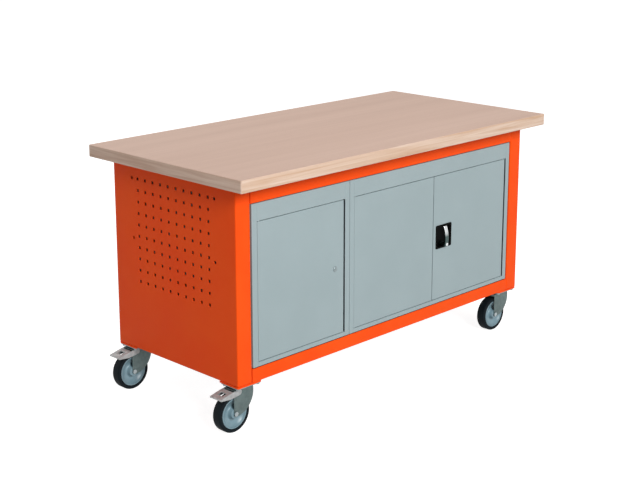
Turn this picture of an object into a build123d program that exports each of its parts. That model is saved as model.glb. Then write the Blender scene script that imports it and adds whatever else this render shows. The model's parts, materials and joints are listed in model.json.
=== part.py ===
"""Mobile workshop bench: beech worktop, folded steel frame, two cabinets with doors, four swivel casters.

Millimetres, +Z up. The origin is on the floor below the middle of the worktop, +X to the right of someone
who faces the doors, +Y to the back.
"""

import os
from math import cos, radians

from build123d import *

# Worktop
worktop_length = 1500.0
worktop_depth = 740.0
worktop_thickness = 40.0
worktop_edge_radius = 2.5
worktop_corner_radius = 5.0
end_overhang = 42.0
long_overhang = 74.0

# Folded steel frame
frame_height = 630.0
frame_sheet = 2.0
frame_bend = 5.0
post_width = 59.0
post_return = 30.0
end_lip = 40.0
top_rail_height = 60.0
bottom_rail_height = 44.0
rail_seam = 1.3

# Perforation and fixing holes in the end panels
hole_side = 10.0
hole_pitch = 38.0
hole_columns = 10
hole_rows = 10
first_row_drop = 50.0
fixing_hole_radius = 5.5
fixing_spacing_depth = 400.0
fixing_spacing_height = 200.0

# Bolts between rails and posts, and screws into the worktop
bolt_radius = 4.0
bolt_head_flats = 13.0
bolt_head_height = 5.3
bolt_nut_height = 6.5
bolt_hole_play = 0.25
thread_play = 0.05
frame_bolt_setback = 17.0
frame_bolt_rise = 10.0
screw_radius = 2.5
screw_bite = 22.0
screw_head_radius = 6.0
screw_head_height = 4.0
screws_per_rail = 4
screw_end_distance = 70.0

# Cabinets
cabinet_sheet = 1.2
cabinet_bend = 1.8
cabinet_recess = 1.0
cabinet_side_gap = 6.0
cabinet_seam = 1.5
cabinet_top_gap = 2.5
spacer_thickness = 3.0
spacer_width = 16.0
spacer_setback = 3.0
spacer_end_distance = 3.0
cabinet_back_recess = 10.0
left_cabinet_width = 430.5
left_stile = 21.5
right_stile = 20.0
fascia_height = 56.0
fascia_return = 25.0
sill_height = 13.5
sheet_seam = 0.3

# Shelves
shelf_flange = 25.0
shelf_setback = 45.0
shelf_side_gap = 1.0
clip_reach = 12.0
clip_width = 16.0
clip_height = 22.0
clip_sheet = 1.5
clip_inset = 60.0

# Doors
door_gap = 3.0
door_wide_gap = 5.0
door_bottom_gap = 1.5
door_recess = 2.0
door_depth = 18.0
door_lip = 14.0
pivot_inset = 9.0
pivot_setback = 7.0
pivot_radius = 3.0
pivot_play = 0.06
pivot_collar_radius = 5.0
pivot_collar_play = 0.2
pivot_length = 12.0
pivot_head_height = 2.0
stiffener_width = 40.0
stiffener_depth = 12.0
stiffener_sheet = 1.0

# Cam lock of the left door
lock_inset = 39.5
lock_face_radius = 9.0
lock_face_thickness = 3.0
lock_body_radius = 8.0
lock_body_length = 17.0
lock_hole_play = 0.2
lock_nut_flats = 24.0
lock_nut_height = 4.0
plug_radius = 5.0
plug_play = 0.08
plug_stand_out = 0.6
key_slot_length = 6.5
key_slot_width = 1.2
key_slot_depth = 5.0
cam_clearance = 2.5
cam_thickness = 2.5
cam_length = 50.0
cam_width = 14.0

# Recessed handle and rod lock of the right door
cup_width = 85.0
cup_height = 85.0
cup_rise = 2.0
cup_edge_distance = 13.0
cup_corner = 5.0
cup_rim = 4.0
cup_rim_thickness = 2.5
cup_depth = 13.0
cup_wall = 2.0
cup_play = 0.3
lever_drop = 14.0
lever_reach = 65.0
lever_heel = 7.5
lever_width = 16.0
lever_bow = 18.5
lever_heel_out = 15.0
lever_tip_out = 9.0
lever_thickness = 5.5
lever_edge = 1.8
boss_radius = 7.2
boss_play = 0.6
key_plug_radius = 5.5
key_plug_depth = 10.5
key_plug_stand_out = 3.0
spindle_radius = 5.0
disc_radius = 17.0
disc_thickness = 3.0
crank_radius = 11.0
crank_pin_radius = 2.5
rod_width = 9.0
rod_thickness = 3.0
rod_play = 0.7
rod_head_width = 15.0
rod_head_height = 15.0
slot_play = 0.65
guide_width = 22.0
guide_height = 10.0
guide_wall = 2.0
rod_tip_drop = 1.0
keeper_play = 2.0
catch_width = 46.0
catch_depth = 18.0
catch_height = 13.0
catch_play = 0.3
catch_chamfer = 1.2
catch_edge_distance = 24.0

# Casters
caster_inset_end = 51.0
caster_inset_long = 43.0
caster_height = 150.0
base_plate_thickness = 5.0
base_plate_margin = 0.4
base_plate_length = 107.0
base_plate_width = 86.0
base_plate_chamfer = 12.0
top_plate_length = 100.0
top_plate_width = 82.0
top_plate_thickness = 3.0
top_plate_corner = 8.0
caster_bolt_spacing_x = 80.0
caster_bolt_spacing_y = 60.0
race_height = 6.0
race_radius = 25.0
race_taper = 4.0
race_gap = 0.3
kingpin_radius = 6.0
kingpin_play = 0.1
kingpin_head_radius = 11.0
kingpin_head_height = 4.0
fork_sheet = 2.5
fork_crown_front = 28.0
fork_crown_back = 49.5
fork_front_radius = 70.0
fork_front_forward = 3.5
fork_front_rise = 60.5
fork_gap = 2.0
fork_foot_radius = 6.0
trail = 43.0
wheel_radius = 62.5
tyre_width = 36.0
tyre_shoulder = 7.0
tyre_thickness = 13.0
rim_width = 33.0
rim_thickness = 5.0
web_thickness = 8.0
hub_radius = 16.0
hub_play = 0.4
axle_radius = 5.0
axle_play = 0.1
axle_head_flats = 14.0
axle_head_height = 3.0
axle_nut_height = 8.0

# Brake pedals of the left casters
pedal_pivot_back = 30.0
pedal_pivot_drop = 6.7
pedal_pivot_radius = 3.0
pedal_ear_radius = 9.5
pedal_reach = 107.0
pedal_tip_radius = 3.0
pedal_tip_drop = 7.5
pedal_belly_radius = 9.0
pedal_belly_back = 66.0
pedal_belly_drop = 5.0
pedal_sheet = 2.5
pedal_play = 0.4
pedal_web_gap = 5.0
pedal_window_width = 24.0
pedal_window_length = 18.0
pedal_window_back = 70.0
shoe_length = 10.0
shoe_width = 22.0
shoe_back = 54.0
shoe_drop = 8.2

# Levels and faces that follow from the sizes above
frame_bottom = caster_height + base_plate_thickness
frame_top = frame_bottom + frame_height
frame_right = worktop_length / 2 - end_overhang
frame_back = worktop_depth / 2 - long_overhang
frame_front = -frame_back
post_inner = frame_right - post_width
rail_end = post_inner - rail_seam
cabinet_front = frame_front + cabinet_recess
cabinet_back = frame_back - cabinet_back_recess
cabinet_bottom = frame_bottom + bottom_rail_height + spacer_thickness
cabinet_top = frame_top - top_rail_height - cabinet_top_gap
floor_level = cabinet_bottom + sill_height
fascia_bottom = cabinet_top - fascia_height
left_cabinet_left = -post_inner + cabinet_side_gap
left_cabinet_right = left_cabinet_left + left_cabinet_width
right_cabinet_left = left_cabinet_right + cabinet_seam
right_cabinet_right = post_inner - cabinet_side_gap
door_front = cabinet_front + door_recess
door_back = door_front + door_depth
door_bottom = floor_level + door_bottom_gap
door_top = fascia_bottom - door_gap
door_middle = (door_bottom + door_top) / 2
left_door_left = left_cabinet_left + left_stile + door_gap
left_door_right = left_cabinet_right - left_stile - door_wide_gap
middle_door_left = right_cabinet_left + right_stile + door_gap
right_door_right = right_cabinet_right - right_stile - door_wide_gap
pair_seam = (middle_door_left + right_door_right) / 2
middle_door_right = pair_seam - door_gap / 2
right_door_left = pair_seam + door_gap / 2


def block(x0, x1, y0, y1, z0, z1):
    """Box between two opposite corners."""
    return Pos((x0 + x1) / 2, (y0 + y1) / 2, (z0 + z1) / 2) * Box(x1 - x0, y1 - y0, z1 - z0)


def rod_x(y, z, x0, x1, radius):
    """Round bar along X."""
    return Pos((x0 + x1) / 2, y, z) * Rot(0, 90, 0) * Cylinder(radius, x1 - x0)


def rod_y(x, z, y0, y1, radius):
    """Round bar along Y."""
    return Pos(x, (y0 + y1) / 2, z) * Rot(90, 0, 0) * Cylinder(radius, y1 - y0)


def rod_z(x, y, z0, z1, radius):
    """Round bar along Z."""
    return Pos(x, y, (z0 + z1) / 2) * Cylinder(radius, z1 - z0)


def hexagon(flats):
    """Six-sided outline of a bolt head or nut, given across its flats."""
    return RegularPolygon(flats / 2, 6, major_radius=False)


def rounded_plate(x0, x1, z0, z1, y0, y1, corner):
    """Upright plate in the XZ plane with rounded corners."""
    outline = RectangleRounded(x1 - x0, z1 - z0, corner)
    plane = Plane(origin=((x0 + x1) / 2, y1, (z0 + z1) / 2), x_dir=(1, 0, 0), z_dir=(0, -1, 0))
    return extrude(plane * outline, y1 - y0)


def joined(shapes):
    """Group of separate solids that share one node."""
    return Compound(children=list(shapes))


def save(name, shape):
    export_step(shape, f"parts/{name}.step")


# Worktop and its screws
def rail_screw_places():
    """Middle of each screw: spread along both top rails."""
    first = -rail_end + screw_end_distance
    step = (2 * rail_end - 2 * screw_end_distance) / (screws_per_rail - 1)
    depth = frame_back - post_return / 2
    return [(first + i * step, side * depth) for side in (-1, 1) for i in range(screws_per_rail)]


def make_worktop():
    board = block(-worktop_length / 2, worktop_length / 2, -worktop_depth / 2, worktop_depth / 2,
                  frame_top, frame_top + worktop_thickness)
    board = fillet(board.edges().filter_by(Axis.Z), worktop_corner_radius)
    faces = [board.faces().sort_by(Axis.Z)[0], board.faces().sort_by(Axis.Z)[-1]]
    board = fillet([edge for face in faces for edge in face.edges()], worktop_edge_radius)
    for x, y in rail_screw_places():
        board -= rod_z(x, y, frame_top - 1, frame_top + screw_bite + thread_play, screw_radius + thread_play)
    return board


def make_worktop_screws():
    flange_under = frame_top - frame_sheet
    screws = []
    for x, y in rail_screw_places():
        head = rod_z(x, y, flange_under - screw_head_height, flange_under, screw_head_radius)
        screws.append(head + rod_z(x, y, flange_under, frame_top + screw_bite, screw_radius))
    return joined(screws)


# Perforated end panels, folded round into the corner posts
def frame_bolt_places():
    """Bolt places on the left end: depth, height and the rail's inner side."""
    rails = [frame_top - top_rail_height / 2, frame_bottom + bottom_rail_height / 2]
    depths = [frame_front + frame_bolt_setback, frame_back - frame_bolt_setback]
    return [(y, z + rise) for y in depths for z in rails for rise in (-frame_bolt_rise, frame_bolt_rise)]


def end_panel_holes():
    """Cutters for the perforation and the four fixing holes, through the outer wall alone."""
    wall_in = -frame_right + frame_sheet + 1
    wall_out = -frame_right - 1
    punch = Plane(origin=(wall_out, 0, 0), x_dir=(0, 1, 0), z_dir=(1, 0, 0))
    first_y = -(hole_columns - 1) * hole_pitch / 2
    first_z = frame_top - first_row_drop
    places = [(first_y + i * hole_pitch, first_z - j * hole_pitch)
              for i in range(hole_columns) for j in range(hole_rows)]
    squares = Sketch() + [Pos(y, z) * Rectangle(hole_side, hole_side) for y, z in places]
    fixings = [rod_x(side * fixing_spacing_depth / 2, z, wall_out, wall_in, fixing_hole_radius)
               for side in (-1, 1) for z in (first_z, first_z - fixing_spacing_height)]
    return [extrude(punch * squares, wall_in - wall_out)] + fixings


def make_left_side_panel():
    outer = block(-frame_right, -post_inner, frame_front, frame_back, frame_bottom, frame_top)
    low_edges = outer.faces().sort_by(Axis.Z)[0].edges()
    outer = fillet(outer.edges().filter_by(Axis.Z) + low_edges, frame_bend)
    inner = block(-frame_right + frame_sheet, -post_inner - frame_sheet, frame_front + frame_sheet,
                  frame_back - frame_sheet, frame_bottom + frame_sheet, frame_top + frame_bend)
    low_edges = inner.faces().sort_by(Axis.Z)[0].edges()
    inner = fillet(inner.edges().filter_by(Axis.Z) + low_edges, frame_bend - frame_sheet)
    between_posts = block(-post_inner - 2 * frame_sheet, -post_inner + 1, frame_front + post_return,
                          frame_back - post_return, frame_bottom + end_lip, frame_top + 1)
    panel = outer - inner - between_posts - end_panel_holes()
    hole = bolt_radius + bolt_hole_play
    for y, z in frame_bolt_places():
        panel -= rod_x(y, z, -post_inner - 2 * frame_sheet, -post_inner + 1, hole)
    return panel


# Rails between the posts: shallow trays, open towards the inside
def make_front_rail(low, high, screwed):
    rail = block(-rail_end, rail_end, frame_front, frame_front + post_return, low, high)
    rail = fillet(rail.faces().sort_by(Axis.Y)[0].edges().filter_by(Axis.X), frame_sheet)
    rail -= block(-rail_end + frame_sheet, rail_end - frame_sheet, frame_front + frame_sheet,
                  frame_front + post_return + 1, low + frame_sheet, high - frame_sheet)
    hole = bolt_radius + bolt_hole_play
    for y, z in frame_bolt_places():
        if y < 0 and low < z < high:
            rail -= rod_x(y, z, -rail_end - 1, -rail_end + frame_sheet + 1, hole)
            rail -= rod_x(y, z, rail_end - frame_sheet - 1, rail_end + 1, hole)
    if screwed:
        for x, y in rail_screw_places():
            if y < 0:
                rail -= rod_z(x, y, high - frame_sheet - 1, high + 1, screw_radius + bolt_hole_play)
    return rail


def make_frame_bolts():
    head_at = -post_inner - frame_sheet
    nut_at = -rail_end + frame_sheet
    along = Plane(origin=(0, 0, 0), x_dir=(0, 1, 0), z_dir=(1, 0, 0))
    pieces = []
    for y, z in frame_bolt_places():
        head = Pos(head_at - bolt_head_height, 0, 0) * extrude(along * Pos(y, z) * hexagon(bolt_head_flats),
                                                               bolt_head_height)
        bolt = head + rod_x(y, z, head_at, nut_at + bolt_nut_height, bolt_radius)
        nut = Pos(nut_at, 0, 0) * extrude(along * Pos(y, z) * hexagon(bolt_head_flats), bolt_nut_height)
        nut -= rod_x(y, z, nut_at - 1, nut_at + bolt_nut_height + 1, bolt_radius + thread_play)
        pieces += [bolt, nut, mirror(bolt, about=Plane.YZ), mirror(nut, about=Plane.YZ)]
    return joined(pieces)


def make_cabinet_spacers():
    low = frame_bottom + bottom_rail_height
    strips = []
    for left, right in ((left_cabinet_left, left_cabinet_right), (right_cabinet_left, right_cabinet_right)):
        strip = block(left + spacer_end_distance, right - spacer_end_distance, frame_front + spacer_setback,
                      frame_front + spacer_setback + spacer_width, low, low + spacer_thickness)
        strips += [strip, mirror(strip, about=Plane.XZ)]
    return joined(strips)


# Cabinets: a folded shell, a roof with the fascia, a base with the sill, and a shelf
def make_cabinet_shell(left, right, stile):
    shell = block(left, right, cabinet_front, cabinet_back, cabinet_bottom, cabinet_top)
    shell = fillet(shell.edges().filter_by(Axis.Z), cabinet_bend)
    inner = block(left + cabinet_sheet, right - cabinet_sheet, cabinet_front + cabinet_sheet,
                  cabinet_back - cabinet_sheet, cabinet_bottom - 1, cabinet_top + 1)
    shell -= fillet(inner.edges().filter_by(Axis.Z), cabinet_bend - cabinet_sheet)
    shell -= block(left + stile, right - stile, cabinet_front - 1, cabinet_front + cabinet_bend,
                   cabinet_bottom - 1, cabinet_top + 1)
    return shell


def sheet_between_walls(left, right, stile, low, high):
    """Flat sheet inside the shell, notched round the stiles."""
    inset = cabinet_sheet + sheet_seam
    sheet = block(left + inset, right - inset, cabinet_front, cabinet_back - inset, low, high)
    notch_back = cabinet_front + cabinet_sheet + sheet_seam
    sheet -= block(left, left + stile + sheet_seam, cabinet_front - 1, notch_back, low - 1, high + 1)
    sheet -= block(right - stile - sheet_seam, right, cabinet_front - 1, notch_back, low - 1, high + 1)
    return sheet


def make_cabinet_roof(left, right, stile):
    front_left = left + stile + sheet_seam
    front_right = right - stile - sheet_seam
    roof = sheet_between_walls(left, right, stile, cabinet_top - cabinet_sheet, cabinet_top)
    roof += block(front_left, front_right, cabinet_front, cabinet_front + cabinet_sheet,
                  fascia_bottom, cabinet_top)
    roof += block(front_left, front_right, cabinet_front, cabinet_front + fascia_return,
                  fascia_bottom, fascia_bottom + cabinet_sheet)
    return roof


def make_cabinet_base(left, right, stile):
    inset = cabinet_sheet + sheet_seam
    base = sheet_between_walls(left, right, stile, floor_level - cabinet_sheet, floor_level)
    base += block(left + stile + sheet_seam, right - stile - sheet_seam, cabinet_front,
                  cabinet_front + cabinet_sheet, cabinet_bottom, floor_level)
    front, back = cabinet_front + cabinet_sheet + sheet_seam, cabinet_back - inset
    base += block(left + inset, right - inset, back - cabinet_sheet, back, cabinet_bottom, floor_level)
    for edge in (left + inset, right - inset - cabinet_sheet):
        base += block(edge, edge + cabinet_sheet, front, back, cabinet_bottom, floor_level)
    return base


def make_shelf(left, right):
    level = (floor_level + cabinet_top) / 2
    inset = cabinet_sheet + shelf_side_gap
    front = cabinet_front + shelf_setback
    back = cabinet_back - inset
    shelf = block(left + inset, right - inset, front, back, level - shelf_flange, level)
    return shelf - block(left + inset + cabinet_sheet, right - inset - cabinet_sheet, front + cabinet_sheet,
                         back - cabinet_sheet, level - shelf_flange - 1, level - cabinet_sheet)


def make_shelf_clips():
    seat = (floor_level + cabinet_top) / 2 - shelf_flange
    depths = (cabinet_front + shelf_setback + clip_inset, cabinet_back - clip_inset)
    clips = []
    for left, right in ((left_cabinet_left, left_cabinet_right), (right_cabinet_left, right_cabinet_right)):
        for wall, way in ((left + cabinet_sheet, 1), (right - cabinet_sheet, -1)):
            for y in depths:
                reach = sorted((wall, wall + way * clip_reach))
                plate = sorted((wall, wall + way * clip_sheet))
                clip = block(*reach, y - clip_width / 2, y + clip_width / 2, seat - clip_sheet, seat)
                clip += block(*plate, y - clip_width / 2, y + clip_width / 2, seat - clip_height, seat)
                clips.append(clip)
    return joined(clips)


# Door pivots
def pivot_places():
    """Pivot axis of each door in plan: left, middle and right door."""
    y = door_front + pivot_setback
    return [(left_door_left + pivot_inset, y), (middle_door_left + pivot_inset, y),
            (right_door_right - pivot_inset, y)]


def make_door_pivot_pins():
    upper_collar = door_gap - pivot_collar_play
    lower_collar = door_bottom_gap - pivot_collar_play
    pins = []
    for x, y in pivot_places():
        upper = rod_z(x, y, door_top - pivot_length, fascia_bottom + cabinet_sheet, pivot_radius)
        upper += rod_z(x, y, fascia_bottom - upper_collar, fascia_bottom, pivot_collar_radius)
        upper += rod_z(x, y, fascia_bottom + cabinet_sheet, fascia_bottom + cabinet_sheet + pivot_head_height,
                       pivot_collar_radius)
        lower = rod_z(x, y, floor_level - cabinet_sheet, door_bottom + pivot_length, pivot_radius)
        lower += rod_z(x, y, floor_level, floor_level + lower_collar, pivot_collar_radius)
        lower += rod_z(x, y, floor_level - cabinet_sheet - pivot_head_height, floor_level - cabinet_sheet,
                       pivot_collar_radius)
        pins += [upper, lower]
    return joined(pins)


def drill_pivots(sheet_part, low, high):
    """Holes for the fixed ends of the pivot pins in a roof's or a base's sheet."""
    for x, y in pivot_places():
        sheet_part -= rod_z(x, y, low - 0.5, high + 0.5, pivot_radius + pivot_play)
    return sheet_part


# Doors: folded pans with a lip at the back, and a hat section inside
def make_door_pan(left, right, pivot_x):
    sheet = cabinet_sheet
    pan = block(left, right, door_front, door_back, door_bottom, door_top)
    pan = fillet(pan.faces().sort_by(Axis.Y)[0].edges(), sheet / 2)
    pan -= block(left + sheet, right - sheet, door_front + sheet, door_back - sheet,
                 door_bottom + sheet, door_top - sheet)
    pan -= block(left + door_lip, right - door_lip, door_back - 2 * sheet, door_back + 1,
                 door_bottom + door_lip, door_top - door_lip)
    pivot_y = door_front + pivot_setback
    pan -= rod_z(pivot_x, pivot_y, door_bottom - 1, door_bottom + 2 * sheet, pivot_radius + pivot_play)
    pan -= rod_z(pivot_x, pivot_y, door_top - 2 * sheet, door_top + 1, pivot_radius + pivot_play)
    return pan


def make_door_stiffener(left, right):
    middle = (left + right) / 2
    low = door_bottom + cabinet_sheet + sheet_seam
    high = door_top - cabinet_sheet - sheet_seam
    front = door_front + cabinet_sheet
    back = front + stiffener_depth
    half = stiffener_width / 2
    hat = block(middle - half, middle + half, front, back, low, high)
    return hat - block(middle - half + stiffener_sheet, middle + half - stiffener_sheet, front - 1,
                       back - stiffener_sheet, low - 1, high + 1)


# Cam lock of the left door
lock_x = left_door_right - lock_inset
cam_front = door_back + cam_clearance


def make_left_lock_barrel():
    face = rod_y(lock_x, door_middle, door_front - lock_face_thickness, door_front, lock_face_radius)
    rim = face.faces().sort_by(Axis.Y)[0].edges()
    barrel = chamfer(rim, lock_face_thickness / 3)
    barrel += rod_y(lock_x, door_middle, door_front, door_front + lock_body_length, lock_body_radius)
    return barrel - rod_y(lock_x, door_middle, door_front - lock_face_thickness - 1,
                          door_front + lock_body_length + 1, plug_radius + plug_play)


def make_left_lock_nut():
    seat = door_front + cabinet_sheet
    plane = Plane(origin=(lock_x, seat, door_middle), x_dir=(1, 0, 0), z_dir=(0, 1, 0))
    nut = extrude(plane * hexagon(lock_nut_flats), lock_nut_height)
    return nut - rod_y(lock_x, door_middle, seat - 1, seat + lock_nut_height + 1,
                       lock_body_radius + thread_play)


def key_slot(x, front, z):
    """Cutter for the upright keyway in a plug's face."""
    return block(x - key_slot_width / 2, x + key_slot_width / 2, front - 1, front + key_slot_depth,
                 z - key_slot_length / 2, z + key_slot_length / 2)


def make_left_lock_plug():
    front = door_front - lock_face_thickness - plug_stand_out
    plug = rod_y(lock_x, door_middle, front, cam_front, plug_radius)
    return plug - key_slot(lock_x, front, door_middle)


def make_left_lock_cam():
    cam = block(lock_x - cam_width / 2, lock_x + cam_width / 2, cam_front, cam_front + cam_thickness,
                door_middle - cam_length, door_middle)
    return cam + rod_y(lock_x, door_middle, cam_front, cam_front + cam_thickness, cam_width / 2)


# Recessed handle of the right door, with the rods that it drives
cup_left = right_door_left + cup_edge_distance
cup_right = cup_left + cup_width
cup_bottom = door_middle + cup_rise - cup_height / 2
cup_top = cup_bottom + cup_height
lever_x = (cup_left + cup_right) / 2
lever_z = cup_bottom + lever_drop
cup_floor = door_front + cup_depth - cup_wall
disc_front = door_back + cam_clearance
rod_front = disc_front + disc_thickness + rod_play
crank_low = crank_radius * cos(radians(45))
rod_travel = 2 * crank_low
rod_offset = (crank_low + crank_radius) / 2


def make_handle_cup():
    rim = rounded_plate(cup_left, cup_right, cup_bottom, cup_top, door_front - cup_rim_thickness, door_front,
                        cup_corner)
    rim = fillet(rim.faces().sort_by(Axis.Y)[0].edges(), cup_rim_thickness / 2)
    body = rounded_plate(cup_left + cup_rim, cup_right - cup_rim, cup_bottom + cup_rim, cup_top - cup_rim,
                         door_front, door_front + cup_depth, cup_corner)
    inset = cup_rim + cup_wall
    hollow = rounded_plate(cup_left + inset, cup_right - inset, cup_bottom + inset, cup_top - inset,
                           door_front - cup_rim_thickness - 1, cup_floor, cup_corner)
    shaft = rod_y(lever_x, lever_z, cup_floor - 1, door_front + cup_depth + 1, spindle_radius + plug_play)
    return rim + body - hollow - shaft


def cut_door_for_cup(pan):
    inset = cup_rim - cup_play
    return pan - rounded_plate(cup_left + inset, cup_right - inset, cup_bottom + inset, cup_top - inset,
                               door_front - 1, door_front + 2 * cabinet_sheet, cup_corner)


def make_handle_lever():
    """Bowed bar on a round boss: its arm stands clear of the cup's rim, so that it can swing across it."""
    heel, waist, tip = -lever_heel, lever_reach / 3, lever_reach
    outer = ThreePointArc((-lever_heel_out, heel), (-lever_bow, waist), (-lever_tip_out, tip))
    inner = ThreePointArc((-lever_tip_out + lever_thickness, tip), (-lever_bow + lever_thickness, waist),
                          (-lever_heel_out + lever_thickness, heel))
    ends = [Line(outer @ 1, inner @ 0), Line(inner @ 1, outer @ 0)]
    side = Plane(origin=(lever_x - lever_width / 2, door_front, lever_z), x_dir=(0, 1, 0), z_dir=(1, 0, 0))
    arm = extrude(side * make_face(Curve() + [outer, inner] + ends), lever_width)
    arm = fillet(arm.edges().filter_by(GeomType.CIRCLE), lever_edge)
    boss_front = door_front - lever_heel_out + lever_thickness / 2
    boss = rod_y(lever_x, lever_z, boss_front, cup_floor - boss_play, boss_radius)
    plug_back = door_front - lever_heel_out + key_plug_depth
    return arm + boss - rod_y(lever_x, lever_z, door_front - lever_bow - 1, plug_back,
                              key_plug_radius + plug_play)


def make_handle_lock_plug():
    front = door_front - lever_heel_out - key_plug_stand_out
    back = door_front - lever_heel_out + key_plug_depth - plug_play
    plug = rod_y(lever_x, lever_z, front, back, key_plug_radius)
    return plug - key_slot(lever_x, front, lever_z)


def make_lock_disc():
    """Spindle, disc and two crank pins; the pins sit at 45 degrees, so that the rods gain the same throw."""
    disc = rod_y(lever_x, lever_z, disc_front, disc_front + disc_thickness, disc_radius)
    disc += rod_y(lever_x, lever_z, cup_floor - boss_play, disc_front, spindle_radius)
    pin_back = rod_front + rod_thickness + rod_play
    for way in (1, -1):
        disc += rod_y(lever_x + way * crank_low, lever_z - way * crank_low, disc_front + disc_thickness,
                      pin_back, crank_pin_radius)
    return disc


def make_lock_rod(way):
    """Flat rod with a slotted head round its crank pin; way is 1 for the upper rod and -1 for the lower."""
    middle = lever_x + way * rod_offset
    head_z = lever_z - way * crank_low
    tip = door_top - rod_tip_drop if way > 0 else door_bottom + rod_tip_drop
    back = rod_front + rod_thickness
    rod = block(middle - rod_width / 2, middle + rod_width / 2, rod_front, back, *sorted((head_z, tip)))
    rod += block(middle - rod_head_width / 2, middle + rod_head_width / 2, rod_front, back,
                 head_z - rod_head_height / 2, head_z + rod_head_height / 2)
    slot_half = (crank_radius - crank_low) / 2 + crank_pin_radius + slot_play
    slot_rise = crank_pin_radius + slot_play
    return rod - block(middle - slot_half, middle + slot_half, rod_front - 1, back + 1,
                       head_z - slot_rise, head_z + slot_rise)


def make_rod_guides():
    guides = []
    for way, lip_middle in ((1, door_top - door_lip / 2), (-1, door_bottom + door_lip / 2)):
        middle = lever_x + way * rod_offset
        low, high = lip_middle - guide_height / 2, lip_middle + guide_height / 2
        back = rod_front + rod_thickness + rod_play + guide_wall
        guide = block(middle - guide_width / 2, middle + guide_width / 2, door_back, back, low, high)
        guide -= block(middle - rod_width / 2 - rod_play, middle + rod_width / 2 + rod_play,
                       rod_front - rod_play, rod_front + rod_thickness + rod_play, low - 1, high + 1)
        guides.append(guide)
    return joined(guides)


def cut_keeper_slot(base):
    """Slot in the right cabinet's floor that takes the lower rod."""
    middle = lever_x - rod_offset
    half = rod_width / 2 + keeper_play
    return base - block(middle - half, middle + half, rod_front - keeper_play,
                        rod_front + rod_thickness + keeper_play,
                        floor_level - 2 * cabinet_sheet, floor_level + 1)


def make_magnetic_catch():
    right = middle_door_right - catch_edge_distance
    front = door_back + catch_play
    catch = block(right - catch_width, right, front, front + catch_depth,
                  floor_level, floor_level + catch_height)
    return chamfer(catch.faces().sort_by(Axis.Y)[-1].edges(), catch_chamfer)


# Casters
caster_x = frame_right - caster_inset_end
caster_y = frame_back - caster_inset_long
plate_under = caster_height - top_plate_thickness
race_under = plate_under - race_height
crown_top = race_under - race_gap
crown_under = crown_top - fork_sheet
fork_inner = tyre_width / 2 + fork_gap
fork_outer = fork_inner + fork_sheet
casters = {"front_left": (-caster_x, -caster_y), "rear_left": (-caster_x, caster_y),
           "front_right": (caster_x, -caster_y), "rear_right": (caster_x, caster_y)}


def caster_bolt_places(x, y):
    return [(x + i * caster_bolt_spacing_x / 2, y + j * caster_bolt_spacing_y / 2)
            for i in (-1, 1) for j in (-1, 1)]


def make_base_plate(x, y):
    """Plate welded under a corner, rounded like the post; a tapped hole takes each bolt."""
    way_x, way_y = (1 if x > 0 else -1), (1 if y > 0 else -1)
    outer_x = way_x * (frame_right - base_plate_margin)
    outer_y = way_y * (frame_back - base_plate_margin)
    plate = block(*sorted((outer_x, outer_x - way_x * base_plate_length)),
                  *sorted((outer_y, outer_y - way_y * base_plate_width)), caster_height, frame_bottom)
    plate = chamfer(plate.edges().filter_by(Axis.Z).sort_by(Axis.X)[:2] if way_x > 0
                    else plate.edges().filter_by(Axis.Z).sort_by(Axis.X)[2:], base_plate_chamfer)
    outer = plate.edges().filter_by(Axis.Z).sort_by_distance((outer_x, outer_y, caster_height))[0]
    plate = fillet(outer, frame_bend - base_plate_margin)
    for bolt_x, bolt_y in caster_bolt_places(x, y):
        plate -= rod_z(bolt_x, bolt_y, caster_height - 1, frame_bottom + 1, bolt_radius + thread_play)
    return plate


def make_top_plate(x, y):
    outline = RectangleRounded(top_plate_length, top_plate_width, top_plate_corner)
    plate = extrude(Pos(x, y, plate_under) * outline, top_plate_thickness)
    race = Cone(race_radius - race_taper, race_radius, race_height)
    plate += Pos(x, y, plate_under - race_height / 2) * race
    for bolt_x, bolt_y in caster_bolt_places(x, y):
        plate -= rod_z(bolt_x, bolt_y, plate_under - 1, caster_height + 1, bolt_radius + bolt_hole_play)
    return plate - rod_z(x, y, race_under - 1, caster_height + 1, kingpin_radius + thread_play)


def make_kingpin(x, y):
    head_top = crown_under - race_gap
    pin = rod_z(x, y, head_top, caster_height - race_gap, kingpin_radius)
    return pin + rod_z(x, y, head_top - kingpin_head_height, head_top, kingpin_head_radius)


def make_caster_bolts():
    bolts = []
    for x, y in casters.values():
        for bolt_x, bolt_y in caster_bolt_places(x, y):
            head = extrude(Pos(bolt_x, bolt_y, plate_under - bolt_head_height) * hexagon(bolt_head_flats),
                           bolt_head_height)
            bolts.append(head + rod_z(bolt_x, bolt_y, plate_under, frame_bottom, bolt_radius))
    return joined(bolts)


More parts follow.
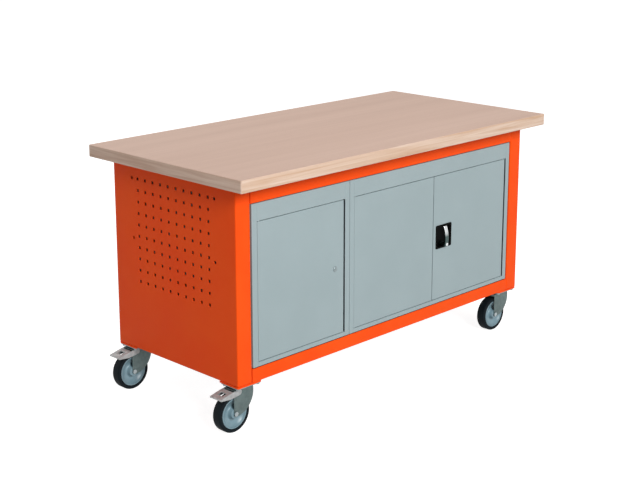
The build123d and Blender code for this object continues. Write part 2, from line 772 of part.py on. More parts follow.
def make_fork(x, y, braked):
    """Crown round the kingpin, with two legs that run down to the axle behind one wide arc."""
    axle_x = x - trail
    crown = rod_z(x, y, crown_under, crown_top, race_radius)
    crown += block(x - fork_crown_back, x + fork_crown_front, y - fork_outer, y + fork_outer,
                   crown_under, crown_top)
    leg_plane = Plane(origin=(0, y + fork_outer, 0), x_dir=(1, 0, 0), z_dir=(0, -1, 0))
    arc_z = wheel_radius + fork_front_rise
    outline = Pos(axle_x + fork_front_forward, arc_z) * Circle(fork_front_radius)
    above = Pos(x, crown_top + fork_front_radius) * Rectangle(4 * fork_front_radius, 2 * fork_front_radius)
    behind = Pos(x - fork_crown_back - fork_front_radius, arc_z) * Rectangle(2 * fork_front_radius,
                                                                            4 * fork_front_radius)
    outline = outline - above - behind
    foot = outline.vertices().sort_by(Axis.Y)[0]
    leg = extrude(leg_plane * fillet(foot, fork_foot_radius), fork_sheet)
    fork = crown + leg + Pos(0, fork_sheet - 2 * fork_outer, 0) * leg
    fork -= rod_z(x, y, crown_under - 1, crown_top + 1, kingpin_radius + kingpin_play)
    fork -= rod_y(axle_x, wheel_radius, y - fork_outer - 1, y + fork_outer + 1, axle_radius + axle_play)
    if braked:
        fork -= rod_y(x - pedal_pivot_back, crown_under - pedal_pivot_drop, y - fork_outer - 1,
                      y + fork_outer + 1, pedal_pivot_radius + axle_play)
    return fork


def make_axle_bolt(x, y):
    axle_x = x - trail
    plane = Plane(origin=(axle_x, y, wheel_radius), x_dir=(1, 0, 0), z_dir=(0, 1, 0))
    shank = rod_y(axle_x, wheel_radius, y - fork_outer, y + fork_outer + axle_nut_height, axle_radius)
    head = extrude(plane * hexagon(axle_head_flats), axle_head_height)
    head = Pos(0, -fork_outer - axle_head_height, 0) * head
    nut = Pos(0, fork_outer, 0) * extrude(plane * hexagon(axle_head_flats), axle_nut_height)
    nut -= rod_y(axle_x, wheel_radius, y, y + 2 * fork_outer, axle_radius + thread_play)
    return joined([head + shank, nut])


def turned(points, x, y):
    """Round piece about a wheel's axle, from radius and width points of its half section."""
    section = Plane(origin=(x - trail, y, wheel_radius), x_dir=(0, 1, 0), z_dir=(1, 0, 0))
    axis = Axis((x - trail, y, wheel_radius), (0, 1, 0))
    return revolve(section * make_face(Polyline(*points, close=True)), axis)


def make_wheel_core(x, y):
    rim_outer = wheel_radius - tyre_thickness
    rim_inner = rim_outer - rim_thickness
    hub_half = fork_inner - hub_play
    rim_half, web_half = rim_width / 2, web_thickness / 2
    bore = axle_radius + axle_play
    half = [(hub_half, bore), (hub_half, hub_radius), (web_half, hub_radius + web_half),
            (rim_half, rim_inner), (rim_half, rim_outer)]
    return turned(half + [(-width, radius) for width, radius in reversed(half)], x, y)


def make_tyre(x, y):
    half, inner = tyre_width / 2, wheel_radius - tyre_thickness + thread_play
    section = Plane(origin=(x - trail, y, wheel_radius), x_dir=(0, 1, 0), z_dir=(1, 0, 0))
    axis = Axis((x - trail, y, wheel_radius), (0, 1, 0))
    outline = Polyline((-half, inner), (half, inner), (half, wheel_radius), (-half, wheel_radius), close=True)
    tread = make_face(outline)
    shoulders = tread.vertices().sort_by(Axis.Y)[-2:]
    return revolve(section * fillet(shoulders, tyre_shoulder), axis)


def make_brake_pedal(x, y):
    """Bent pedal: two ears on a cross pin, a top skin with a window, and a shoe above the tyre."""
    pivot_x, pivot_z = x - pedal_pivot_back, crown_under - pedal_pivot_drop
    half_out = fork_outer + pedal_play + pedal_sheet
    half_in = fork_outer + pedal_play
    ear = Pos(pivot_x, pivot_z) * Circle(pedal_ear_radius)
    belly = Pos(x - pedal_belly_back, pivot_z - pedal_belly_drop) * Circle(pedal_belly_radius)
    tip = Pos(x - pedal_reach + pedal_tip_radius, pivot_z - pedal_tip_drop) * Circle(pedal_tip_radius)
    outline = make_hull(ear.edges() + belly.edges() + tip.edges())
    plane = Plane(origin=(0, y, 0), x_dir=(1, 0, 0), z_dir=(0, -1, 0))
    pedal = extrude(plane * outline, half_out, both=True)
    pedal -= Pos(0, 0, -pedal_sheet) * extrude(plane * outline, half_in, both=True)
    web_front = x - fork_crown_back - pedal_web_gap
    high, low = pivot_z + 2 * pedal_ear_radius, pivot_z - 4 * pedal_ear_radius
    pedal -= block(web_front, x, y - half_in, y + half_in, low, high)
    pedal -= block(x - pedal_window_back - pedal_window_length, x - pedal_window_back,
                   y - pedal_window_width / 2, y + pedal_window_width / 2, low, high)
    pedal += rod_y(pivot_x, pivot_z, y - half_out, y + half_out, pedal_pivot_radius)
    shoe = block(x - shoe_back - shoe_length, x - shoe_back, y - shoe_width / 2, y + shoe_width / 2,
                 pivot_z - shoe_drop / 2, pivot_z + shoe_drop / 2)
    return pedal + shoe


os.makedirs("parts", exist_ok=True)
save("worktop", make_worktop())
save("worktop_screws", make_worktop_screws())
left_panel = make_left_side_panel()
save("left_side_panel", left_panel)
save("right_side_panel", mirror(left_panel, about=Plane.YZ))
top_rail = make_front_rail(frame_top - top_rail_height, frame_top, screwed=True)
bottom_rail = make_front_rail(frame_bottom, frame_bottom + bottom_rail_height, screwed=False)
save("front_top_rail", top_rail)
save("front_bottom_rail", bottom_rail)
save("rear_top_rail", mirror(top_rail, about=Plane.XZ))
save("rear_bottom_rail", mirror(bottom_rail, about=Plane.XZ))
save("frame_bolts", make_frame_bolts())
save("cabinet_spacers", make_cabinet_spacers())
save("shelf_clips", make_shelf_clips())
save("door_pivot_pins", make_door_pivot_pins())
save("magnetic_catch", make_magnetic_catch())

for side, left, right, stile in (("left", left_cabinet_left, left_cabinet_right, left_stile),
                                 ("right", right_cabinet_left, right_cabinet_right, right_stile)):
    save(f"{side}_cabinet_shell", make_cabinet_shell(left, right, stile))
    roof = make_cabinet_roof(left, right, stile)
    save(f"{side}_cabinet_roof", drill_pivots(roof, fascia_bottom, fascia_bottom + cabinet_sheet))
    base = drill_pivots(make_cabinet_base(left, right, stile), floor_level - cabinet_sheet, floor_level)
    save(f"{side}_cabinet_base", cut_keeper_slot(base) if side == "right" else base)
    save(f"{side}_shelf", make_shelf(left, right))

for side, left, right, pivot in zip(("left", "middle", "right"),
                                    (left_door_left, middle_door_left, right_door_left),
                                    (left_door_right, middle_door_right, right_door_right), pivot_places()):
    pan = make_door_pan(left, right, pivot[0])
    if side == "left":
        pan -= rod_y(lock_x, door_middle, door_front - 1, door_front + 2 * cabinet_sheet,
                     lock_body_radius + lock_hole_play)
    if side == "right":
        pan = cut_door_for_cup(pan)
    save(f"{side}_door_panel", pan)
    save(f"{side}_door_stiffener", make_door_stiffener(left, right))

save("left_lock_barrel", make_left_lock_barrel())
save("left_lock_nut", make_left_lock_nut())
save("left_lock_plug", make_left_lock_plug())
save("left_lock_cam", make_left_lock_cam())
save("handle_cup", make_handle_cup())
save("handle_lever", make_handle_lever())
save("handle_lock_plug", make_handle_lock_plug())
save("lock_disc", make_lock_disc())
save("upper_lock_rod", make_lock_rod(1))
save("lower_lock_rod", make_lock_rod(-1))
save("rod_guides", make_rod_guides())

save("caster_base_plates", joined(make_base_plate(x, y) for x, y in casters.values()))
save("caster_top_plates", joined(make_top_plate(x, y) for x, y in casters.values()))
save("caster_kingpins", joined(make_kingpin(x, y) for x, y in casters.values()))
save("caster_bolts", make_caster_bolts())
for place, (x, y) in casters.items():
    braked = x < 0
    save(f"{place}_fork", make_fork(x, y, braked))
    save(f"{place}_axle_bolt", make_axle_bolt(x, y))
    save(f"{place}_wheel_core", make_wheel_core(x, y))
    save(f"{place}_tyre", make_tyre(x, y))
    if braked:
        save(f"{place}_brake_pedal", make_brake_pedal(x, y))
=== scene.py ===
"""Looks of a mobile workshop bench: beech top, orange frame, grey cabinets, four swivel casters."""
import json
from math import radians, tau

import bmesh
import bpy
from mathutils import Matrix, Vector


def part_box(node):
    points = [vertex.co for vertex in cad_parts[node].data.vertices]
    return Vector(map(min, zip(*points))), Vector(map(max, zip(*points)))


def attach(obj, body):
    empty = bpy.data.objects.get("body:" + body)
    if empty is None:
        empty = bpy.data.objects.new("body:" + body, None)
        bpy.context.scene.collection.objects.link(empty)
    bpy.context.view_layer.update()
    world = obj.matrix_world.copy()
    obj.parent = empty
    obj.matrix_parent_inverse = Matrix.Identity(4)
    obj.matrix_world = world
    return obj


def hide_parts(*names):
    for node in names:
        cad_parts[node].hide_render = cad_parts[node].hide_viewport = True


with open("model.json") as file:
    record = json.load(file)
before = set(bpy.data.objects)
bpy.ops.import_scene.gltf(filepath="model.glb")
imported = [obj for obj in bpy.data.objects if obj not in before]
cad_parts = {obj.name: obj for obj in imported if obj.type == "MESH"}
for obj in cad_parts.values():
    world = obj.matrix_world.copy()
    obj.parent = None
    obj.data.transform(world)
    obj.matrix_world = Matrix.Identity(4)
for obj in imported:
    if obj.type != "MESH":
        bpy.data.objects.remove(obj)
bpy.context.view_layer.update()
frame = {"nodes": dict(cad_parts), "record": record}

# Side panels
# Each end of the bench is one sheet of 2 mm steel, punched with rows of tool holes, folded round into the
# two corner posts and powder coated orange. The folds are smooth, so each panel is shown with smooth bends.
mm = 0.001
scene = bpy.context.scene
bodies = frame["record"]["behaviour"]["bodies"]
body_of_node = {node: body for body, nodes in bodies.items() for node in nodes}


def linear(code):
    """sRGB hex colour as linear red, green, blue and alpha."""
    parts = [int(code[i:i + 2], 16) / 255 for i in (1, 3, 5)]
    return [c / 12.92 if c <= 0.04045 else ((c + 0.055) / 1.055) ** 2.4 for c in parts] + [1.0]


def add_node(tree, kind, inputs, **settings):
    """Adds a node with its settings; an input is a plain value or the socket that feeds it."""
    made = tree.nodes.new(kind)
    for name, value in settings.items():
        setattr(made, name, value)
    for socket, value in inputs.items():
        if isinstance(value, bpy.types.NodeSocket):
            tree.links.new(value, made.inputs[socket])
        else:
            made.inputs[socket].default_value = value
    return made


def start_finish(name, **shader_values):
    """New material: its tree, its shader with constant values set, and its Object coordinates."""
    material = bpy.data.materials.new(name)
    material.use_nodes = True
    tree = material.node_tree
    shader = tree.nodes["Principled BSDF"]
    for socket, value in shader_values.items():
        shader.inputs[socket.replace("_", " ").title().replace("Ior", "IOR")].default_value = value
    spot = add_node(tree, "ShaderNodeTexCoord", {}).outputs["Object"]
    return material, tree, shader, spot


def two_tones(tree, pattern, dark, light, low=0.35, high=0.65):
    """Blend from a dark to a light tone of one colour, as a pattern rises from low to high."""
    share = add_node(tree, "ShaderNodeMapRange", {"Value": pattern, "From Min": low, "From Max": high})
    tone = add_node(tree, "ShaderNodeMix", {0: share.outputs["Result"], 6: linear(dark), 7: linear(light)},
                    data_type="RGBA")
    return tone.outputs[2]


def lay_finish(tree, shader, colour, sheen, roughness, relief, strength, depth):
    """Feeds a shader its colour, a roughness that follows one pattern, and the relief of another."""
    gloss = add_node(tree, "ShaderNodeMapRange", {"Value": sheen, "To Min": roughness[0],
                                                  "To Max": roughness[1]})
    bump = add_node(tree, "ShaderNodeBump", {"Height": relief, "Strength": strength, "Distance": depth})
    tree.links.new(colour, shader.inputs["Base Color"])
    tree.links.new(gloss.outputs["Result"], shader.inputs["Roughness"])
    tree.links.new(bump.outputs["Normal"], shader.inputs["Normal"])


def powder_coat(name, dark, light, ior):
    """Powder coat on steel: sprayed dry and baked, so it is even and satin, with a faint orange peel."""
    peel_size = 4.0 * mm     # real peel is about 1 mm; drawn coarser so that it shows
    peel_depth = 0.15 * mm
    drift_size = 160.0 * mm
    satin = (0.42, 0.54)
    material, tree, shader, spot = start_finish(name, ior=ior)
    drift = add_node(tree, "ShaderNodeTexNoise", {"Vector": spot, "Scale": 1 / drift_size, "Detail": 3.0})
    peel = add_node(tree, "ShaderNodeTexNoise", {"Vector": spot, "Scale": 1 / peel_size, "Detail": 1.0})
    lay_finish(tree, shader, two_tones(tree, drift.outputs["Fac"], dark, light),
               sheen=peel.outputs["Fac"], roughness=satin,
               relief=peel.outputs["Fac"], strength=0.12, depth=peel_depth)
    return material


def settle(piece, material, *nodes):
    """Makes a piece's modifiers plain mesh, gives it its finish, and puts it in place of its CAD nodes."""
    crease = radians(32)
    bpy.context.view_layer.update()
    mesh = bpy.data.meshes.new_from_object(piece.evaluated_get(bpy.context.evaluated_depsgraph_get()))
    piece.modifiers.clear()
    piece.data = mesh
    mesh.materials.clear()
    mesh.materials.append(material)
    for face in mesh.polygons:
        face.material_index = 0
        face.use_smooth = True
    mesh.set_sharp_from_angle(angle=crease)
    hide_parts(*nodes)
    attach(piece, body_of_node[nodes[0]])
    return piece


def smooth_copy(node, material, edge=0.0):
    """Copy of a CAD node with smooth bends and, where an edge radius is given, edges rounded to it."""
    merge_distance = 0.002 * mm
    flat_within = radians(0.5)
    corner_from = radians(40)
    mesh = frame["nodes"][node].data.copy()
    work = bmesh.new()
    work.from_mesh(mesh)
    bmesh.ops.remove_doubles(work, verts=work.verts, dist=merge_distance)
    bmesh.ops.dissolve_limit(work, angle_limit=flat_within, verts=work.verts, edges=work.edges)
    work.to_mesh(mesh)
    work.free()
    piece = bpy.data.objects.new(f"{node}_finished", mesh)
    scene.collection.objects.link(piece)
    if edge:
        rounding = piece.modifiers.new("rounded edges", "BEVEL")
        rounding.width = edge
        rounding.segments = 2
        rounding.limit_method = "ANGLE"
        rounding.angle_limit = corner_from
    return settle(piece, material, node)


orange_coat = powder_coat("orange_powder_coat", "#FE5110", "#FF5713", 1.2)
for side in ("left", "right"):
    smooth_copy(f"{side}_side_panel", orange_coat)

# Rails
# Folded channels of the same sheet and coat, bolted between the posts at the top and the bottom, with the
# orange corner plates that the casters bolt to.


def coat(material, *names):
    """Gives CAD nodes their finish."""
    for name in names:
        for slot in frame["nodes"][name].material_slots:
            slot.material = material


for side in ("front", "rear"):
    smooth_copy(f"{side}_top_rail", orange_coat)
    smooth_copy(f"{side}_bottom_rail", orange_coat)
coat(orange_coat, "caster_base_plates")

# Fasteners
# Bolts, nuts, screws, pins and clips are turned or stamped steel with a bright zinc plate: grey, slightly
# patchy, and smooth enough to mirror what is near in a blurred way.


def zinc_plate(name, dark, light, dull, bright, metallic=1.0):
    """Electroplated zinc on steel: soft cloudy patches in its tone and shine over a fine grain."""
    cloud_size = 14.0 * mm
    grain_size = 1.5 * mm    # drawn coarser than real plating grain so that it shows
    grain_depth = 0.05 * mm
    material, tree, shader, spot = start_finish(name, metallic=metallic)
    cloud = add_node(tree, "ShaderNodeTexNoise", {"Vector": spot, "Scale": 1 / cloud_size, "Detail": 3.0})
    grain = add_node(tree, "ShaderNodeTexNoise", {"Vector": spot, "Scale": 1 / grain_size, "Detail": 2.0})
    lay_finish(tree, shader, two_tones(tree, cloud.outputs["Fac"], dark, light),
               sheen=cloud.outputs["Fac"], roughness=(bright, dull),
               relief=grain.outputs["Fac"], strength=0.08, depth=grain_depth)
    return material


bright_zinc = zinc_plate("bright_zinc_plate", "#A6ACAE", "#BEC4C6", 0.45, 0.3)
coat(bright_zinc, "frame_bolts", "worktop_screws", "shelf_clips", "door_pivot_pins", "lock_disc",
     "upper_lock_rod", "lower_lock_rod", "left_lock_nut", "left_lock_cam")

# Caster heads and forks
# Each caster hangs on a pressed top plate with a swivel race and a riveted kingpin. Its fork is pressed
# from one sheet with rounded edges, and barrel plated, so its zinc is duller than the bolts'.
pressed_zinc = zinc_plate("barrel_plated_zinc", "#556463", "#637271", 0.6, 0.42, metallic=0.65)
plate_zinc = zinc_plate("top_plate_zinc", "#8A9696", "#98A4A4", 0.62, 0.48, metallic=0.5)
coat(plate_zinc, "caster_top_plates", "caster_kingpins", "caster_bolts")
casters = ("front_left", "rear_left", "front_right", "rear_right")
fork_edge = 0.9 * mm
for caster in casters:
    smooth_copy(f"{caster}_fork", pressed_zinc, fork_edge)

# Brake pedals
# A pedal pressed from 2.5 mm sheet straddles each left fork on a cross pin, with a window through its top
# skin and a shoe that is pushed on to the tyre.
pedal_edge = 0.8 * mm
pedal_zinc = zinc_plate("pedal_zinc", "#9C9E9E", "#AEB0B0", 0.68, 0.55, metallic=0.5)
for caster in ("front_left", "rear_left"):
    smooth_copy(f"{caster}_brake_pedal", pedal_zinc, pedal_edge)

# Wheel cores
# Injection moulded polyamide, pale blue grey: a rim ring, a bowl shaped dish down to the web and a hub that
# runs on the axle. Turned here from half of its section: millimetres along the axle, then radius.
turning_steps = 96
web_half, dish_depth, dish_foot, dish_edge = 3.2, 10.5, 22.0, 45.0
dish_radii = (45.0, 42.0, 38.0, 34.0, 30.0, 26.0, 23.4)
dish = [(web_half + dish_depth * ((radius - dish_foot) / (dish_edge - dish_foot)) ** 2, radius)
        for radius in dish_radii]
rim_ring = [(15.9, 49.5), (16.5, 48.9), (16.6, 47.4), (16.3, 46.3), (15.4, 45.6)]
hub = [(4.2, 20.8), (7.0, 18.6), (11.0, 17.2), (18.4, 16.2), (19.3, 15.6), (19.6, 14.6), (19.6, 5.1)]
core_half = rim_ring + dish + hub
core_section = core_half + [(-axial, radius) for axial, radius in reversed(core_half)]


def turned_piece(name, section, centre):
    """Round piece about a level axle: its closed section is swept round the axle's middle."""
    axle = (0.0, 1.0, 0.0)
    seam_distance = 0.01 * mm
    work = bmesh.new()
    ring = [work.verts.new(centre + Vector((0.0, axial * mm, radius * mm))) for axial, radius in section]
    edges = [work.edges.new((ring[i], ring[(i + 1) % len(ring)])) for i in range(len(ring))]
    bmesh.ops.spin(work, geom=ring + edges, cent=centre, axis=axle, angle=tau, steps=turning_steps)
    bmesh.ops.remove_doubles(work, verts=work.verts, dist=seam_distance)
    bmesh.ops.recalc_face_normals(work, faces=work.faces)
    mesh = bpy.data.meshes.new(name)
    work.to_mesh(mesh)
    work.free()
    piece = bpy.data.objects.new(name, mesh)
    scene.collection.objects.link(piece)
    return piece


def moulded_polyamide(name, dark, light):
    """Moulded polyamide: satin, with faint flow marks and a very fine spark-eroded grain."""
    flow_size = 30.0 * mm
    grain_size = 1.2 * mm    # drawn coarser than the mould's grain so that it shows
    grain_depth = 0.06 * mm
    satin = (0.28, 0.4)
    material, tree, shader, spot = start_finish(name, ior=1.5)
    flow = add_node(tree, "ShaderNodeTexNoise", {"Vector": spot, "Scale": 1 / flow_size, "Detail": 2.0})
    grain = add_node(tree, "ShaderNodeTexNoise", {"Vector": spot, "Scale": 1 / grain_size, "Detail": 1.0})
    lay_finish(tree, shader, two_tones(tree, flow.outputs["Fac"], dark, light),
               sheen=flow.outputs["Fac"], roughness=satin,
               relief=grain.outputs["Fac"], strength=0.1, depth=grain_depth)
    return material


core_polyamide = moulded_polyamide("blue_grey_polyamide", "#6F8A94", "#7D98A2")
wheel_centre = {}
for caster in casters:
    low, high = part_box(f"{caster}_wheel_core")
    wheel_centre[caster] = (low + high) / 2
    core = turned_piece(f"{caster}_wheel_core_finished", core_section, wheel_centre[caster])
    settle(core, core_polyamide, f"{caster}_wheel_core")

# Tyres
# Solid rubber, vulcanised on to the rim: a ring with a flat tread and rounded shoulders. One rule makes all
# four: a rounded rectangle swept round a circle about the axle. Rubber is dull and nearly black, with a
# greyer bloom in soft patches over a scuffed skin.
tyre_rule = bpy.data.node_groups.new("rubber_tyre", "GeometryNodeTree")
tyre_inputs = {}
for label, kind in (("Tread Radius", "NodeSocketFloat"), ("Width", "NodeSocketFloat"),
                    ("Thickness", "NodeSocketFloat"), ("Shoulder", "NodeSocketFloat"),
                    ("Axle", "NodeSocketVector"), ("Rubber", "NodeSocketMaterial")):
    tyre_inputs[label] = tyre_rule.interface.new_socket(label, in_out="INPUT", socket_type=kind).identifier
tyre_rule.interface.new_socket("Tyre", in_out="OUTPUT", socket_type="NodeSocketGeometry")
shoulder_steps = 6
level_axle = (radians(90), 0.0, 0.0)
given = add_node(tyre_rule, "NodeGroupInput", {}).outputs
half = add_node(tyre_rule, "ShaderNodeMath", {0: given["Thickness"], 1: 0.5}, operation="MULTIPLY")
middle = add_node(tyre_rule, "ShaderNodeMath", {0: given["Tread Radius"], 1: half.outputs[0]},
                  operation="SUBTRACT")
path = add_node(tyre_rule, "GeometryNodeCurvePrimitiveCircle", {"Resolution": turning_steps,
                                                               "Radius": middle.outputs[0]})
outline = add_node(tyre_rule, "GeometryNodeCurvePrimitiveQuadrilateral", {"Width": given["Thickness"],
                                                                         "Height": given["Width"]})
rounded = add_node(tyre_rule, "GeometryNodeFilletCurve", {"Curve": outline.outputs["Curve"],
                                                         "Count": shoulder_steps,
                                                         "Radius": given["Shoulder"]}, mode="POLY")
ring = add_node(tyre_rule, "GeometryNodeCurveToMesh", {"Curve": path.outputs["Curve"],
                                                      "Profile Curve": rounded.outputs["Curve"]})
placed = add_node(tyre_rule, "GeometryNodeTransform", {"Geometry": ring.outputs["Mesh"],
                                                      "Translation": given["Axle"],
                                                      "Rotation": level_axle})
real = add_node(tyre_rule, "GeometryNodeRealizeInstances", {"Geometry": placed.outputs["Geometry"]})
black = add_node(tyre_rule, "GeometryNodeSetMaterial", {"Geometry": real.outputs["Geometry"],
                                                       "Material": given["Rubber"]})
add_node(tyre_rule, "NodeGroupOutput", {"Tyre": black.outputs["Geometry"]})

bloom_size = 18.0 * mm
scuff_size = 2.0 * mm        # drawn coarser than the moulded skin so that it shows
scuff_depth = 0.1 * mm
rubber_dullness = (0.6, 0.8)
rubber, tree, shader, spot = start_finish("solid_rubber", ior=1.2)
bloom = add_node(tree, "ShaderNodeTexNoise", {"Vector": spot, "Scale": 1 / bloom_size, "Detail": 3.0})
scuff = add_node(tree, "ShaderNodeTexNoise", {"Vector": spot, "Scale": 1 / scuff_size, "Detail": 2.0})
lay_finish(tree, shader, two_tones(tree, bloom.outputs["Fac"], "#0B1115", "#121A1F"),
           sheen=bloom.outputs["Fac"], roughness=rubber_dullness,
           relief=scuff.outputs["Fac"], strength=0.15, depth=scuff_depth)

tread_radius, tyre_thickness, tyre_shoulder = 62.5 * mm, 13.0 * mm, 6.4 * mm
for caster in casters:
    low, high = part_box(f"{caster}_tyre")
    tyre = bpy.data.objects.new(f"{caster}_tyre_finished", bpy.data.meshes.new(f"{caster}_tyre_finished"))
    scene.collection.objects.link(tyre)
    rule = tyre.modifiers.new("rubber tyre", "NODES")
    rule.node_group = tyre_rule
    for label, value in (("Tread Radius", tread_radius), ("Width", high.y - low.y),
                         ("Thickness", tyre_thickness), ("Shoulder", tyre_shoulder),
                         ("Axle", wheel_centre[caster]), ("Rubber", rubber)):
        rule[tyre_inputs[label]] = value
    settle(tyre, rubber, f"{caster}_tyre")

# Axles
# A turned bolt with a six-sided head runs through each fork and hub and is held by a nut. It is plated and
# then dulled, so that it shows as soft grey steel.
axle_zinc = zinc_plate("axle_zinc", "#969EA0", "#A8B0B2", 0.5, 0.38)
for caster in casters:
    coat(axle_zinc, f"{caster}_axle_bolt")

# Cabinets and shelves
# Folded from 1.2 mm steel sheet, spot welded, and powder coated pale grey inside and out. They stand on
# black plastic strips on the bottom rails.
grey_coat = powder_coat("grey_powder_coat", "#9BABAE", "#9EAEB1", 1.36)
for side in ("left", "right"):
    coat(grey_coat, f"{side}_cabinet_shell", f"{side}_cabinet_roof", f"{side}_cabinet_base",
         f"{side}_shelf")


def moulded_black(name, dark, light, ior):
    """Moulded ABS, dyed black: satin, with a fine eroded grain from the mould."""
    grain_size = 1.5 * mm    # drawn coarser than the mould's grain so that it shows
    grain_depth = 0.05 * mm
    satin = (0.4, 0.6)
    material, tree, shader, spot = start_finish(name, ior=ior)
    grain = add_node(tree, "ShaderNodeTexNoise", {"Vector": spot, "Scale": 1 / grain_size, "Detail": 2.0})
    lay_finish(tree, shader, two_tones(tree, grain.outputs["Fac"], dark, light),
               sheen=grain.outputs["Fac"], roughness=satin,
               relief=grain.outputs["Fac"], strength=0.15, depth=grain_depth)
    return material


black_plastic = moulded_black("black_abs", "#060708", "#0B0D0E", 1.3)
coat(black_plastic, "cabinet_spacers", "magnetic_catch", "rod_guides")

# Doors
# Folded pans of the same grey sheet, hung on concealed pivot pins inside the cabinet fronts. A hat section
# is welded inside each one to keep it flat.
for side in ("left", "middle", "right"):
    coat(grey_coat, f"{side}_door_panel", f"{side}_door_stiffener")

# Cam lock
# A die-cast barrel with a key plug, set through the left door. It is satin chromed, so it stands out little
# from the grey coat.


def chrome_plate(name, dark, light, dull, bright):
    """Chrome over die-cast zinc: hard, from satin to mirror like, with slight waves and handling haze."""
    wave_size = 22.0 * mm
    wave_depth = 0.4 * mm
    material, tree, shader, spot = start_finish(name, metallic=1.0)
    wave = add_node(tree, "ShaderNodeTexNoise", {"Vector": spot, "Scale": 1 / wave_size, "Detail": 1.0})
    lay_finish(tree, shader, two_tones(tree, wave.outputs["Fac"], dark, light),
               sheen=wave.outputs["Fac"], roughness=(bright, dull),
               relief=wave.outputs["Fac"], strength=0.05, depth=wave_depth)
    return material


lock_chrome = chrome_plate("lock_satin", "#8A9597", "#99A4A6", 0.45, 0.36)
coat(lock_chrome, "left_lock_barrel", "left_lock_plug")

# Handle
# A black moulded cup is clipped into the right door. In it a lever turns on a boss, with a chromed key plug
# at its foot, and drives the two lock rods behind the door. The lever is bright chrome that mirrors what is
# near; towards its root its colour is darkened to a teal grey, a painted dark reflection, and its gloss is
# duller.
cup_plastic = moulded_black("black_matt_abs", "#020303", "#050606", 1.12)
smooth_copy("handle_cup", cup_plastic)
plug_chrome = chrome_plate("plug_chrome", "#DDE1E2", "#ECEFF0", 0.2, 0.12)
coat(plug_chrome, "handle_lock_plug")

# Height band in which the lever's painted dark reflection fades into its chrome.
lever_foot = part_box("handle_lever")[0].z
reflection_fade_start, reflection_fade_end = lever_foot + 36.0 * mm, lever_foot + 54.0 * mm
polish_size = 22.0 * mm
polish_depth = 0.4 * mm
lower_to_upper_roughness = (0.42, 0.16)
lever_finish, tree, shader, spot = start_finish("lever_chrome_with_painted_reflection", metallic=1.0)
height = add_node(tree, "ShaderNodeSeparateXYZ", {"Vector": spot}).outputs["Z"]
reflection_fade = add_node(tree, "ShaderNodeMapRange", {"Value": height, "From Min": reflection_fade_start, "From Max": reflection_fade_end})
polish = add_node(tree, "ShaderNodeTexNoise", {"Vector": spot, "Scale": 1 / polish_size, "Detail": 1.0})
chrome = two_tones(tree, polish.outputs["Fac"], "#D8DBDC", "#E8EAEB")
# Painted dark reflection of the dark cup and door, given to the lever's root as colour.
painted_dark_reflection = two_tones(tree, polish.outputs["Fac"], "#465654", "#586866")
tone = add_node(tree, "ShaderNodeMix", {0: reflection_fade.outputs["Result"], 6: painted_dark_reflection, 7: chrome}, data_type="RGBA")
lay_finish(tree, shader, tone.outputs[2], sheen=reflection_fade.outputs["Result"], roughness=lower_to_upper_roughness,
           relief=polish.outputs["Fac"], strength=0.05, depth=polish_depth)
smooth_copy("handle_lever", lever_finish)

# Worktop
# A 40 mm board of glued beech, planed and oiled, with its edges eased. The face shows the broad pinkish
# bands of its staves, the long edges show flat-sawn grain, and the ends show the glued layers. The ends' tone
# is lighter than the face's: painted light, lifting the ends, which stand in shade.


def stretched(tree, spot, length, width, height, detail, distortion):
    """Noise whose patches have the given real size along each axis."""
    scale = (1 / length, 1 / width, 1 / height)
    mapped = add_node(tree, "ShaderNodeMapping", {"Vector": spot, "Scale": scale})
    noise = add_node(tree, "ShaderNodeTexNoise", {"Vector": mapped.outputs["Vector"], "Scale": 1.0,
                                                  "Detail": detail, "Distortion": distortion})
    return noise.outputs["Fac"]


grain_share = 0.35
turn_start, turn_end = 0.5, 0.85
fleck_start, fleck_full, fleck_strength = 0.66, 0.76, 0.25
grain_depth = 0.15 * mm
oiled = (0.6, 0.74)
beech, tree, shader, board = start_finish("oiled_beech", ior=1.3)
stave_tone = stretched(tree, board, 1800 * mm, 85 * mm, 300 * mm, 2.0, 0.0)
face_grain = stretched(tree, board, 320 * mm, 7 * mm, 40 * mm, 3.0, 0.3)
edge_grain = stretched(tree, board, 420 * mm, 60 * mm, 14 * mm, 2.0, 1.0)
end_layers = stretched(tree, board, 400 * mm, 260 * mm, 10 * mm, 2.0, 0.2)
# Real flecks are about 2 mm long; these are coarser so that they show.
ray_flecks = stretched(tree, board, 16 * mm, 2.5 * mm, 2.5 * mm, 1.0, 0.0)
stave_colour = two_tones(tree, stave_tone, "#CFB1A1", "#D9BCAC", 0.3, 0.7)
grain_colour = two_tones(tree, face_grain, "#CBAC9C", "#D8BBAB", 0.3, 0.7)
edge_colour = two_tones(tree, edge_grain, "#CFAC90", "#E6CFBE", 0.3, 0.7)
# Painted light: the ends get a lighter tone than the face, so that they look less shaded.
lightened_end_colour = two_tones(tree, end_layers, "#D3B29D", "#E8CEBC")
board_colour = add_node(tree, "ShaderNodeMix", {0: grain_share, 6: stave_colour, 7: grain_colour},
                        data_type="RGBA").outputs[2]
outward = add_node(tree, "ShaderNodeNewGeometry", {}).outputs["Normal"]
outward = add_node(tree, "ShaderNodeSeparateXYZ", {"Vector": outward})
for axis, colour in (("Y", edge_colour), ("X", lightened_end_colour)):
    facing = add_node(tree, "ShaderNodeMath", {0: outward.outputs[axis]}, operation="ABSOLUTE")
    share = add_node(tree, "ShaderNodeMapRange", {"Value": facing.outputs[0], "From Min": turn_start,
                                                  "From Max": turn_end})
    board_colour = add_node(tree, "ShaderNodeMix", {0: share.outputs["Result"], 6: board_colour, 7: colour},
                            data_type="RGBA").outputs[2]
flecks = add_node(tree, "ShaderNodeMapRange", {"Value": ray_flecks, "From Min": fleck_start,
                                               "From Max": fleck_full, "To Max": fleck_strength})
board_colour = add_node(tree, "ShaderNodeMix", {0: flecks.outputs["Result"], 6: board_colour,
                                                7: linear("#A98468")}, data_type="RGBA").outputs[2]
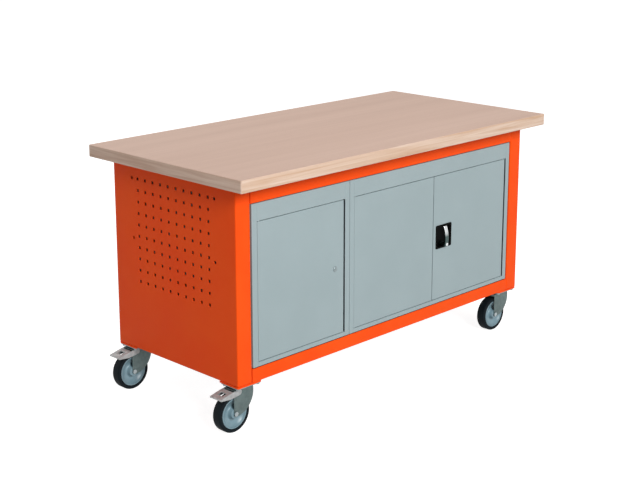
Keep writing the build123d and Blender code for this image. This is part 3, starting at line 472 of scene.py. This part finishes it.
lay_finish(tree, shader, board_colour, sheen=face_grain, roughness=oiled,
           relief=face_grain, strength=0.06, depth=grain_depth)
smooth_copy("worktop", beech)

# Studio
# A pale floor under soft light: the key lamp in front and to the left, one above, a low one behind, and a
# white surround.
scene.view_settings.view_transform = "Standard"


def area_lamp(name, at, towards, size, power):
    """Soft lamp of the given size in metres, turned towards a point."""
    lamp = bpy.data.lights.new(name, "AREA")
    lamp.shape = "RECTANGLE"
    lamp.size, lamp.size_y = size
    lamp.energy = power
    holder = bpy.data.objects.new(name, lamp)
    holder.location = at
    holder.rotation_euler = (Vector(towards) - Vector(at)).to_track_quat("-Z", "Y").to_euler()
    scene.collection.objects.link(holder)


area_lamp("key_lamp", (-2.5, -8.0, 4.9), (0.0, 0.0, 0.45), (3.2, 3.4), 715.0)
area_lamp("top_lamp", (0.4, 0.3, 4.6), (0.0, 0.0, 0.5), (2.4, 2.4), 44.0)
area_lamp("back_lamp", (-0.6, 5.0, 1.7), (0.0, 0.0, 0.45), (3.0, 2.0), 70.0)


def background_rays(tree):
    """1 for the rays that see the surround: from the camera, off a shiny or through a clear surface."""
    rays = add_node(tree, "ShaderNodeLightPath", {})
    seen = add_node(tree, "ShaderNodeMath", {0: rays.outputs["Is Camera Ray"],
                                             1: rays.outputs["Is Glossy Ray"]}, operation="MAXIMUM")
    seen = add_node(tree, "ShaderNodeMath", {0: seen.outputs[0], 1: rays.outputs["Is Transmission Ray"]},
                    operation="MAXIMUM")
    return seen.outputs[0]


white = (1.0, 1.0, 1.0, 1.0)
fill_light, seen_light = 0.2, 1.0
world = bpy.data.worlds.new("surround")
scene.world = world
world.use_nodes = True
tree = world.node_tree
sky = tree.nodes["Background"]
strength = add_node(tree, "ShaderNodeMapRange", {"Value": background_rays(tree), "To Min": fill_light,
                                                 "To Max": seen_light})
tree.links.new(strength.outputs["Result"], sky.inputs["Strength"])
sky.inputs["Color"].default_value = white

floor_half = 20.0
floor_glow = 0.88
floor_mesh = bpy.data.meshes.new("floor")
corners = [(-floor_half, -floor_half, 0), (floor_half, -floor_half, 0), (floor_half, floor_half, 0),
           (-floor_half, floor_half, 0)]
floor_mesh.from_pydata(corners, [], [(0, 1, 2, 3)])
floor = bpy.data.objects.new("floor", floor_mesh)
scene.collection.objects.link(floor)
floor_paint, tree, shader, spot = start_finish("pale_floor", roughness=0.9)
shader.inputs["Base Color"].default_value = linear("#BCBCBC")
shader.inputs["Emission Color"].default_value = white
glow = add_node(tree, "ShaderNodeMath", {0: background_rays(tree), 1: floor_glow}, operation="MULTIPLY")
tree.links.new(glow.outputs[0], shader.inputs["Emission Strength"])
floor_mesh.materials.append(floor_paint)

# Camera
# It stands in front of the left end, above the worktop, and looks down along the diagonal. A small lens shift
# lets it dip less, so that the bench's uprights lean less.
picture_width, picture_shift = 640, -60
camera_dip, camera_turn = 13.27, -45.57
camera_data = bpy.data.cameras.new("camera")
camera_data.sensor_width = 36.0
camera_data.lens = 74.28
camera_data.shift_y = picture_shift / picture_width
camera = bpy.data.objects.new("camera", camera_data)
camera.location = (-3.2309, -3.1190, 1.6998)
camera.rotation_euler = (radians(90 - camera_dip), 0.0, radians(camera_turn))
scene.collection.objects.link(camera)
scene.camera = camera
